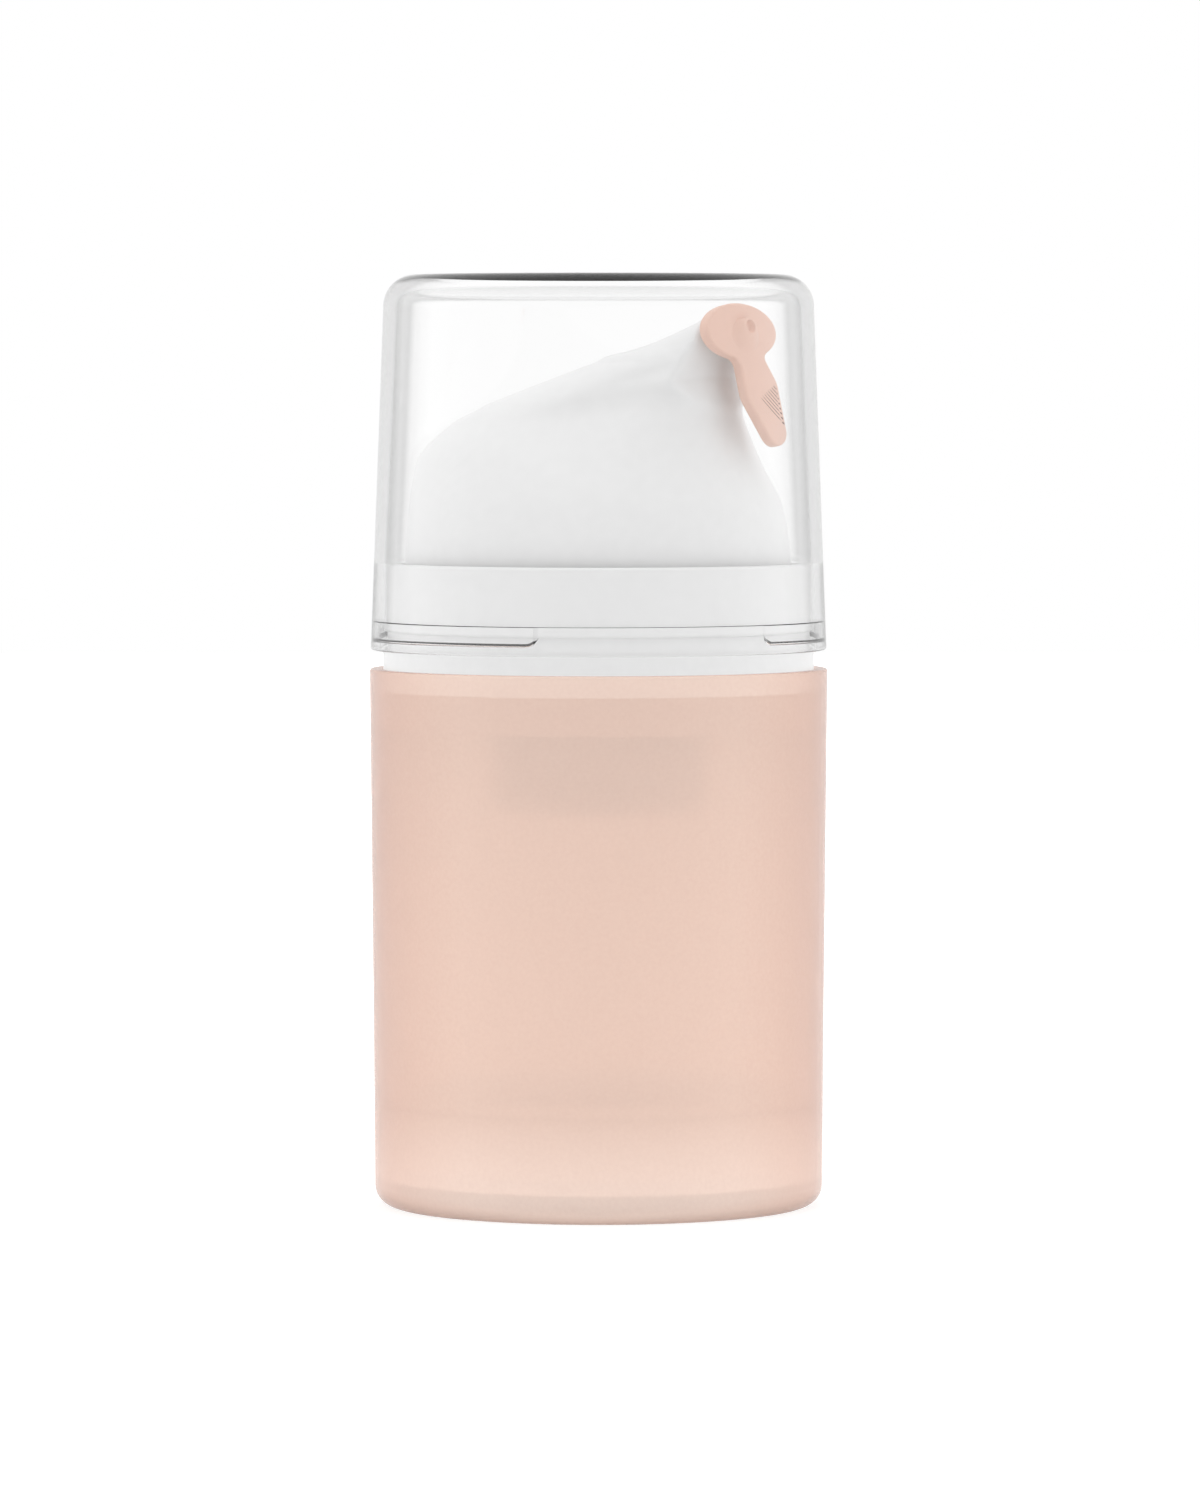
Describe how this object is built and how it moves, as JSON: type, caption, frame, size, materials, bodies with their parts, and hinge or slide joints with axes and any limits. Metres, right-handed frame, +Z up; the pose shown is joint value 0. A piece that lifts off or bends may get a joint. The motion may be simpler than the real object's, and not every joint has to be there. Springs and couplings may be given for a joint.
{
  "type": "airless pump bottle",
  "caption": "Round airless pump bottle with a frosted body, a follower piston, a sloped push head with a plugged spout, and a clear lift-off overcap",
  "frame": {"origin": "middle of the foot, on the surface that the bottle stands on", "axes": "+Z up along the bottle's axis, front towards -Y; the spout points 38 degrees from +X towards -Y"},
  "size_m": [0.044, 0.044, 0.0895],
  "materials": {
    "frosted_peach": "translucent peach, frosted outside",
    "frosted_tube": "natural translucent plastic",
    "clear_plastic": "clear polished plastic",
    "white_plastic": "white moulded plastic, satin",
    "peach_plastic": "opaque peach moulded plastic",
    "piston_white": "soft white polyethylene",
    "natural_plastic": "natural polypropylene",
    "soft_seal": "white elastomer",
    "spring_steel": "stainless spring wire and ball"
  },
  "bodies": {
    "bottle": {"outer_bottle": "frosted_peach", "inner_bottle": "frosted_tube", "collar": "white_plastic", "pump_gasket": "soft_seal", "pump_housing": "natural_plastic", "inlet_cage": "natural_plastic", "stem_guide": "natural_plastic", "stem_seal": "soft_seal", "return_spring": "spring_steel"},
    "cap": {"overcap": "clear_plastic"},
    "follower": {"follower_piston": "piston_white"},
    "inlet_flap": {"inlet_valve": "soft_seal"},
    "plunger": {"pump_stem": "natural_plastic", "pump_piston": "piston_white", "piston_seat": "natural_plastic"},
    "outlet_ball": {"outlet_valve": "spring_steel"},
    "head": {"actuator_shell": "white_plastic", "actuator_core": "white_plastic", "nozzle_tip": "white_plastic"},
    "plug": {"nozzle_plug": "peach_plastic"}
  },
  "joints": [
    {"name": "overcap_lift", "type": "slide", "parent": "bottle", "child": "cap", "axis": [0, 0, 1], "range_m": [0, 0.045]},
    {"name": "actuator_press", "type": "slide", "parent": "bottle", "child": "plunger", "axis": [0, 0, -1], "range_m": [0, 0.0045], "stiffness_N_per_m": 1500, "springref_m": -0.003, "deforming": ["return_spring"]},
    {"name": "head_swivel", "type": "hinge", "parent": "plunger", "child": "head", "pos_m": [0, 0, 0.06], "axis": [0, 0, 1], "continuous": true},
    {"name": "plug_pull", "type": "slide", "parent": "head", "child": "plug", "axis": [0.7708, -0.6022, 0.2079], "range_m": [0, 0.0004]},
    {"name": "follower_rise", "type": "slide", "parent": "bottle", "child": "follower", "axis": [0, 0, 1], "range_m": [0, 0.0295]},
    {"name": "inlet_flap_lift", "type": "slide", "parent": "bottle", "child": "inlet_flap", "axis": [0, 0, 1], "range_m": [0, 0.0005]},
    {"name": "outlet_ball_lift", "type": "slide", "parent": "plunger", "child": "outlet_ball", "axis": [0, 0, 1], "range_m": [0, 0.0005]}
  ]
}
